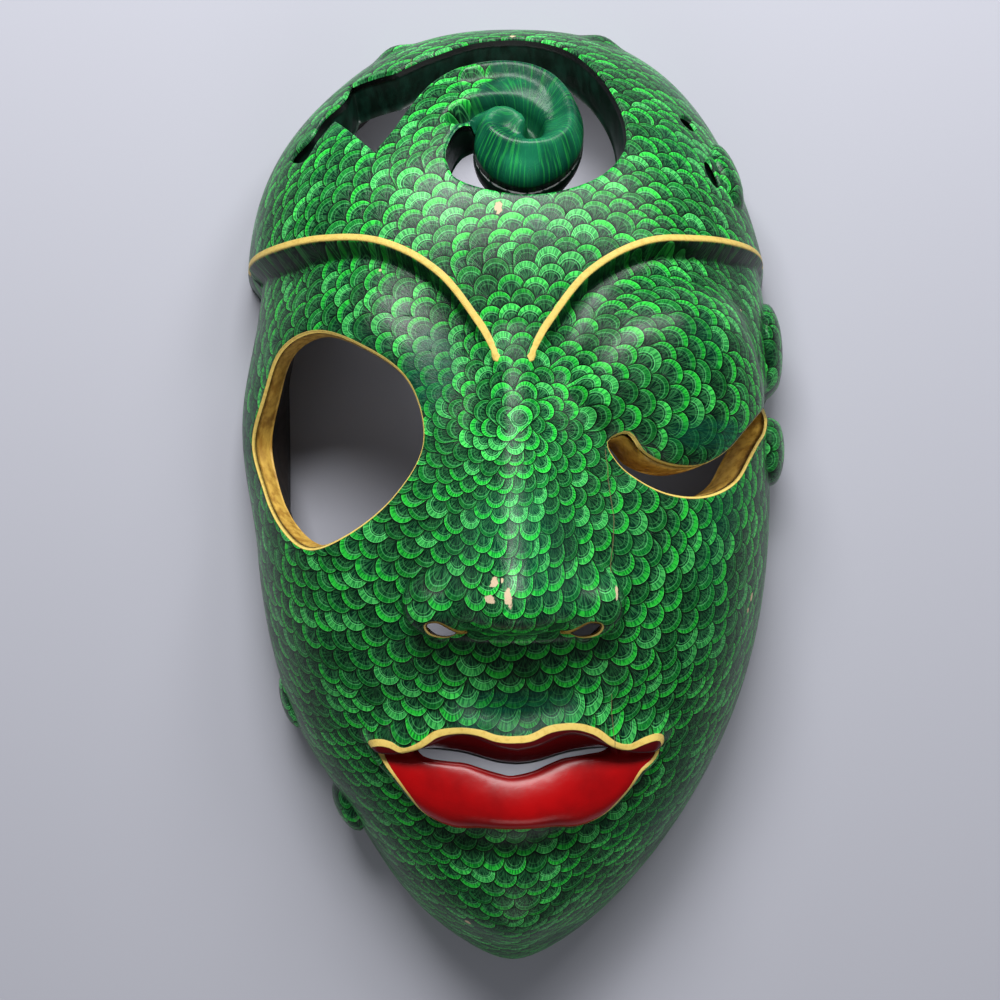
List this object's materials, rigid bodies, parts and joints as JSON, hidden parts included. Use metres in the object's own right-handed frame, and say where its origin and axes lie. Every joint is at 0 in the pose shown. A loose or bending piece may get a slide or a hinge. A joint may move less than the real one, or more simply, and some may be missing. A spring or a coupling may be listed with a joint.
{
  "type": "carved wooden mask",
  "caption": "Hollow carved wooden face mask with a round eye hole, a half-closed eye slit, full lips and a pierced crown round a curl; lies on its flat back rim.",
  "frame": {"origin": "under the middle of the mask's box, on the plane that its flat back rim lies on", "axes": "+X to the viewer's right as one looks at the face, +Y from the chin to the crown, +Z out of the face"},
  "size_m": [0.1514, 0.26, 0.082],
  "materials": {
    "lacquered_wood": "painted and satin lacquered"
  },
  "bodies": {
    "root": {"mask": "lacquered_wood"}
  },
  "joints": []
}
